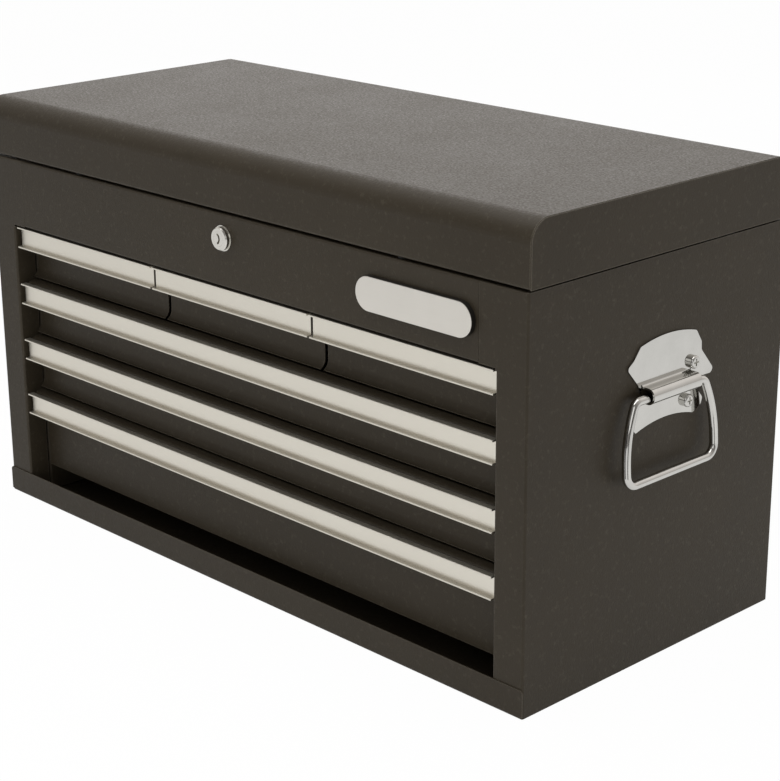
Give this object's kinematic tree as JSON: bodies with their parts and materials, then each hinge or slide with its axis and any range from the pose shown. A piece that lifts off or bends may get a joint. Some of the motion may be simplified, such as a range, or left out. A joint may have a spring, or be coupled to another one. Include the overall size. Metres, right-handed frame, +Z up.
{
  "type": "tool chest",
  "caption": "Folded sheet-steel tool chest with a lift-up lid over a till, small and full-width drawers with aluminium pulls, a cam lock and a drop handle on each side.",
  "frame": {"origin": "middle of the underside, on the surface the chest stands on", "axes": "+X to the right along the front, drawers open towards -Y, +Z up"},
  "size_m": [0.6902, 0.3142, 0.38],
  "materials": {
    "case_paint": "fine textured dark paint",
    "drawer_paint": "fine textured dark paint",
    "pull_aluminium": "satin anodised",
    "handle_chrome": "bright plated",
    "lock_nickel": "nickel plated",
    "zinc_steel": "zinc plated",
    "buffer_rubber": "matt black",
    "badge_metal": "satin, left bare"
  },
  "bodies": {
    "cabinet": {"side_panel_right": "case_paint", "side_panel_left": "case_paint", "back_panel": "case_paint", "bottom_panel": "case_paint", "front_fascia": "case_paint", "till_floor": "case_paint", "partition_right": "case_paint", "partition_left": "case_paint", "uprights_right": "case_paint", "uprights_left": "case_paint", "case_slides_top": "zinc_steel", "case_slides_upper": "zinc_steel", "case_slides_middle": "zinc_steel", "case_slides_lower": "zinc_steel", "hinge_leaf_lower": "zinc_steel", "hinge_pin": "zinc_steel", "stay_guide_pins": "zinc_steel", "lock_housing": "lock_nickel", "lock_nut": "lock_nickel", "lid_buffers": "buffer_rubber", "badge_plate": "badge_metal", "handle_plate_right": "handle_chrome", "handle_plate_left": "handle_chrome", "handle_bolts": "handle_chrome"},
    "drawer_top_left": {"front_top_left": "drawer_paint", "pull_top_left": "pull_aluminium", "box_top_left": "drawer_paint", "drawer_slides_top_left": "zinc_steel"},
    "drawer_top_middle": {"front_top_middle": "drawer_paint", "pull_top_middle": "pull_aluminium", "box_top_middle": "drawer_paint", "drawer_slides_top_middle": "zinc_steel"},
    "drawer_top_right": {"front_top_right": "drawer_paint", "pull_top_right": "pull_aluminium", "box_top_right": "drawer_paint", "drawer_slides_top_right": "zinc_steel"},
    "drawer_upper": {"front_upper": "drawer_paint", "pull_upper": "pull_aluminium", "box_upper": "drawer_paint", "drawer_slides_upper": "zinc_steel"},
    "drawer_middle": {"front_middle": "drawer_paint", "pull_middle": "pull_aluminium", "box_middle": "drawer_paint", "drawer_slides_middle": "zinc_steel"},
    "drawer_lower": {"front_lower": "drawer_paint", "pull_lower": "pull_aluminium", "box_lower": "drawer_paint", "drawer_slides_lower": "zinc_steel"},
    "lid": {"lid_shell": "case_paint", "lid_end_right": "case_paint", "lid_end_left": "case_paint", "hinge_leaf_upper": "zinc_steel", "stay_pivot_studs": "zinc_steel", "lid_strike": "lock_nickel"},
    "lid_stay_right": {"lid_stay_right": "zinc_steel"},
    "lid_stay_left": {"lid_stay_left": "zinc_steel"},
    "lock": {"lock_plug": "lock_nickel", "lock_cam": "lock_nickel"},
    "handle_right": {"handle_bail_right": "handle_chrome"},
    "handle_left": {"handle_bail_left": "handle_chrome"}
  },
  "joints": [
    {"name": "lid_hinge", "type": "hinge", "parent": "cabinet", "child": "lid", "pos_m": [0, 0.1548, 0.329], "axis": [-1, 0, 0], "range_deg": [0, 95]},
    {"name": "lid_stay_right_pivot", "type": "hinge", "parent": "lid", "child": "lid_stay_right", "pos_m": [0.32525, 0.11, 0.35], "axis": [-1, 0, 0], "range_deg": [-95, 0]},
    {"name": "lid_stay_left_pivot", "type": "hinge", "parent": "lid", "child": "lid_stay_left", "pos_m": [-0.32525, 0.11, 0.35], "axis": [-1, 0, 0], "range_deg": [-95, 0]},
    {"name": "drawer_top_left_slide", "type": "slide", "parent": "cabinet", "child": "drawer_top_left", "axis": [0, -1, 0], "range_m": [0, 0.2]},
    {"name": "drawer_top_middle_slide", "type": "slide", "parent": "cabinet", "child": "drawer_top_middle", "axis": [0, -1, 0], "range_m": [0, 0.2]},
    {"name": "drawer_top_right_slide", "type": "slide", "parent": "cabinet", "child": "drawer_top_right", "axis": [0, -1, 0], "range_m": [0, 0.2]},
    {"name": "drawer_upper_slide", "type": "slide", "parent": "cabinet", "child": "drawer_upper", "axis": [0, -1, 0], "range_m": [0, 0.2]},
    {"name": "drawer_middle_slide", "type": "slide", "parent": "cabinet", "child": "drawer_middle", "axis": [0, -1, 0], "range_m": [0, 0.2]},
    {"name": "drawer_lower_slide", "type": "slide", "parent": "cabinet", "child": "drawer_lower", "axis": [0, -1, 0], "range_m": [0, 0.2]},
    {"name": "lock_turn", "type": "hinge", "parent": "cabinet", "child": "lock", "pos_m": [0, -0.152, 0.308], "axis": [0, 1, 0], "range_deg": [0, 90]},
    {"name": "handle_right_swing", "type": "hinge", "parent": "cabinet", "child": "handle_right", "pos_m": [0.3375, 0.0025, 0.22305], "axis": [0, -1, 0], "range_deg": [-3.7, 86.3]},
    {"name": "handle_left_swing", "type": "hinge", "parent": "cabinet", "child": "handle_left", "pos_m": [-0.3375, 0.0025, 0.22305], "axis": [0, 1, 0], "range_deg": [-3.7, 86.3]}
  ],
  "couplings": [
    {"joint": "lid_stay_right_pivot", "follows": "lid_hinge", "ratio": -1},
    {"joint": "lid_stay_left_pivot", "follows": "lid_hinge", "ratio": -1}
  ]
}
